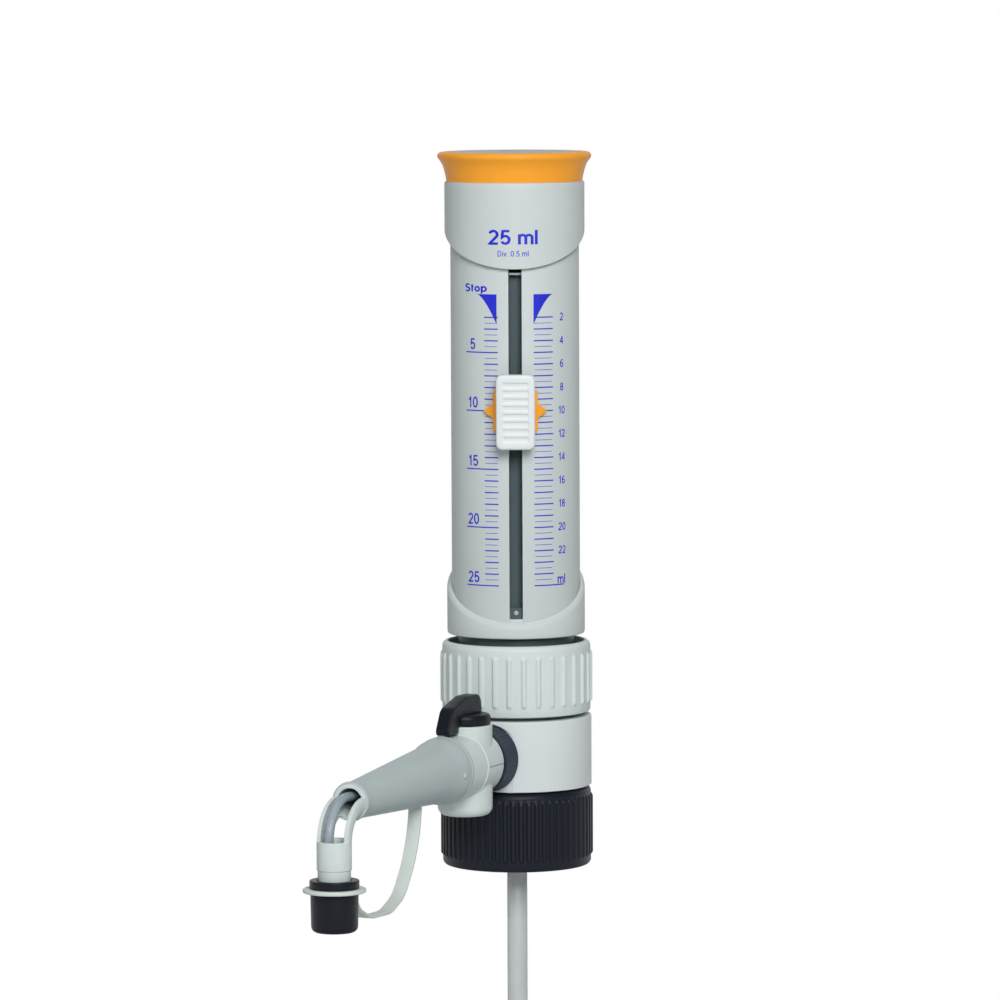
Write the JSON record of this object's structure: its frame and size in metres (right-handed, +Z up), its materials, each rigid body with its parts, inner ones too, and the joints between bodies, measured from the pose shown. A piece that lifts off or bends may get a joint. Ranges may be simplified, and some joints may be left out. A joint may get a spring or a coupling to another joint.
{
  "type": "bottle-top dispenser",
  "caption": "Screw-on bottle-top liquid dispenser with a sliding scale sleeve, a volume selector, an inlet valve with suction tube and a spout with stopcock, open elbow and tethered nozzle cap.",
  "frame": {"origin": "on the neck axis, in the plane of the screw collar's open mouth", "axes": "+Z up along the neck axis, -Y out through the selector slot, so the spout leaves between -Y and -X"},
  "size_m": [0.0967, 0.1712, 0.4433],
  "materials": {
    "collar_black": "satin",
    "block_light": "satin",
    "steel": "brushed",
    "seal_white": "smooth",
    "valve_clear": "polished",
    "ball_glass": "polished",
    "tube_clear": "smooth",
    "ring_pale": "satin",
    "glass": "polished",
    "jacket_slate": "smooth",
    "shell_grey": "satin",
    "grip_orange": "satin",
    "disc_grey": "satin",
    "button_white": "smooth",
    "nut_dark": "satin",
    "tap_pale": "satin",
    "shroud_grey": "satin",
    "tube_blue": "smooth",
    "strap_pale": "satin",
    "cap_black": "satin"
  },
  "bodies": {
    "collar": {"bottle_collar": "collar_black"},
    "block": {"valve_block": "block_light", "retaining_plate": "block_light", "retainer_screws": "steel", "neck_seal": "seal_white", "inlet_valve": "valve_clear", "inlet_seal": "seal_white", "suction_tube": "tube_clear", "barrel_seal": "seal_white", "glass_barrel": "glass", "barrel_clamp": "jacket_slate", "barrel_jacket": "jacket_slate", "barrel_guide": "seal_white", "stop_ring": "ring_pale", "outlet_valve": "valve_clear", "outlet_seal": "seal_white", "outlet_spring": "steel", "stopcock_body": "tap_pale", "jet_shroud": "shroud_grey", "jet_elbow": "tap_pale", "jet_tube": "tube_blue", "cap_strap": "strap_pale"},
    "locking_ring": {"locking_ring": "ring_pale"},
    "jet_nut": {"jet_nut": "nut_dark"},
    "sleeve": {"scale_sleeve": "shell_grey", "foot_collar": "shell_grey", "foot_bush": "jacket_slate", "bush_pin": "seal_white", "head_shell": "shell_grey", "head_screws": "steel", "volume_rack": "jacket_slate", "grip_ring": "grip_orange", "top_disc": "disc_grey", "plunger_hub": "jacket_slate", "plunger_rod": "seal_white", "piston_seal": "seal_white"},
    "selector": {"pointer_plate": "grip_orange", "selector_shoe": "jacket_slate"},
    "selector_button": {"selector_button": "button_white", "selector_pawl": "button_white", "selector_springs": "steel"},
    "stopcock": {"stopcock_key": "seal_white", "stopcock_knob": "cap_black"},
    "cap": {"nozzle_cap": "cap_black", "strap_ring": "strap_pale"},
    "inlet_ball": {"inlet_ball": "ball_glass"},
    "outlet_ball": {"outlet_ball": "ball_glass"}
  },
  "joints": [
    {"name": "collar_turn", "type": "hinge", "parent": "collar", "child": "block", "pos_m": [0, 0, 0], "axis": [0, 0, 1], "continuous": true},
    {"name": "locking_ring_turn", "type": "hinge", "parent": "block", "child": "locking_ring", "pos_m": [0, 0, 0], "axis": [0, 0, 1], "continuous": true},
    {"name": "jet_nut_turn", "type": "hinge", "parent": "block", "child": "jet_nut", "pos_m": [0, 0, 0.0395], "axis": [-0.4067, -0.9135, 0], "continuous": true},
    {"name": "plunger_lift", "type": "slide", "parent": "block", "child": "sleeve", "axis": [0, 0, 1], "range_m": [0, 0.04]},
    {"name": "volume_select", "type": "slide", "parent": "sleeve", "child": "selector", "axis": [0, 0, -1], "range_m": [-0.036, 0.06]},
    {"name": "button_press", "type": "slide", "parent": "selector", "child": "selector_button", "axis": [0, 1, 0], "range_m": [0, 0.001], "stiffness_N_per_m": 600, "springref_m": -0.002, "deforming": ["selector_springs"]},
    {"name": "stopcock_turn", "type": "hinge", "parent": "block", "child": "stopcock", "pos_m": [-0.01769, -0.03974, 0.0395], "axis": [0, 0, 1], "range_deg": [0, 90]},
    {"name": "cap_pull", "type": "slide", "parent": "block", "child": "cap", "axis": [0, 0, -1], "range_m": [0, 0.014], "deforming": ["cap_strap"]},
    {"name": "inlet_ball_lift", "type": "slide", "parent": "block", "child": "inlet_ball", "axis": [0, 0, 1], "range_m": [0, 0.0015]},
    {"name": "outlet_ball_open", "type": "slide", "parent": "block", "child": "outlet_ball", "axis": [-0.4067, -0.9135, 0], "range_m": [0, 0.0012], "stiffness_N_per_m": 40, "springref_m": -0.001, "deforming": ["outlet_spring"]}
  ]
}
